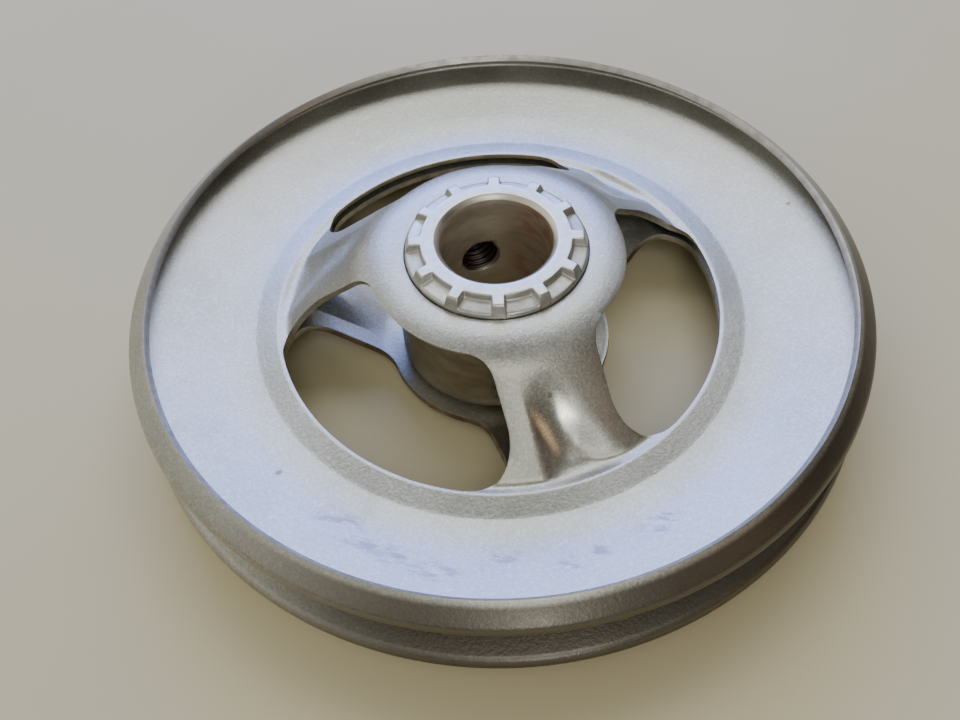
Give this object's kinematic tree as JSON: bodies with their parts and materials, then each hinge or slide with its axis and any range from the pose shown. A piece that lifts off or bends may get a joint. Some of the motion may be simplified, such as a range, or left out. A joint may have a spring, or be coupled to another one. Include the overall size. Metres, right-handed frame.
{
  "type": "v-belt pulley",
  "caption": "Pressed steel V-belt pulley: two dished stampings with spokes and windows, staked and welded to a bored hub that a set screw locks to its shaft.",
  "frame": {"origin": "on the bore's axis, on the mid-plane of the belt groove", "axes": "+Z along the bore towards the front end of the hub, +Y along the set screw towards its socket, +X completes the right-handed set"},
  "size_m": [0.127, 0.127, 0.0286],
  "materials": {
    "sheet_steel": "satin blasted, with a fine grain",
    "hub_steel": "turned, bright on the end faces",
    "screw_steel": "black oxide"
  },
  "bodies": {
    "pulley": {"front_stamping": "sheet_steel", "rear_stamping": "sheet_steel", "hub": "hub_steel"},
    "screw": {"set_screw": "screw_steel"}
  },
  "joints": [
    {"name": "set_screw_travel", "type": "slide", "parent": "pulley", "child": "screw", "axis": [0, 1, 0], "range_m": [-0.0034, 0.002]}
  ]
}
